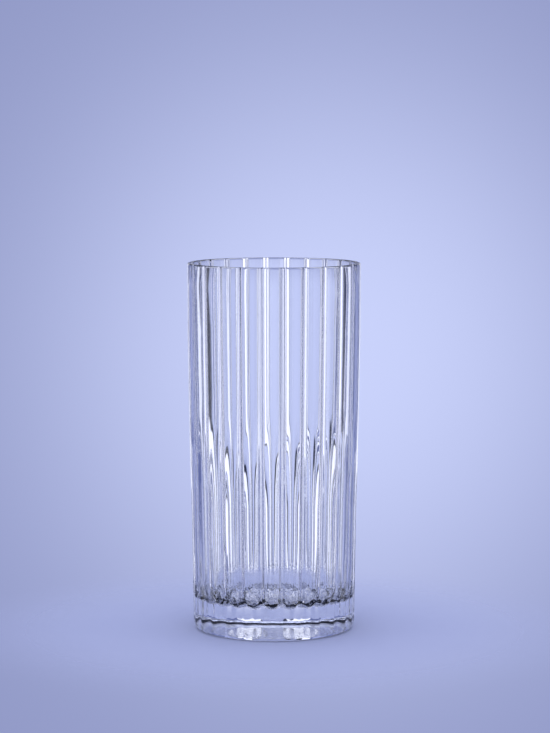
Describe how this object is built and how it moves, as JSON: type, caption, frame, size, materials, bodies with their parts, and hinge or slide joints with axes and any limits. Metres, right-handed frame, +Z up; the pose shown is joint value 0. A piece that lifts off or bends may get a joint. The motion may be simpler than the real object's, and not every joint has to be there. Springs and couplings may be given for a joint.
{
  "type": "drinking glass",
  "caption": "Tall straight-sided tumbler of clear pressed glass with a thick base, flutes down the inside and flutes around the lower outside.",
  "frame": {"origin": "centre of the foot, on the plane that the glass stands on", "axes": "+Z up along the glass's axis, from the foot to the mouth; +X and +Y level, with -Y towards the viewer of the picture"},
  "size_m": [0.068, 0.068, 0.145],
  "materials": {
    "clear_glass": "clear, fire-polished"
  },
  "bodies": {
    "root": {"tumbler": "clear_glass"}
  },
  "joints": []
}
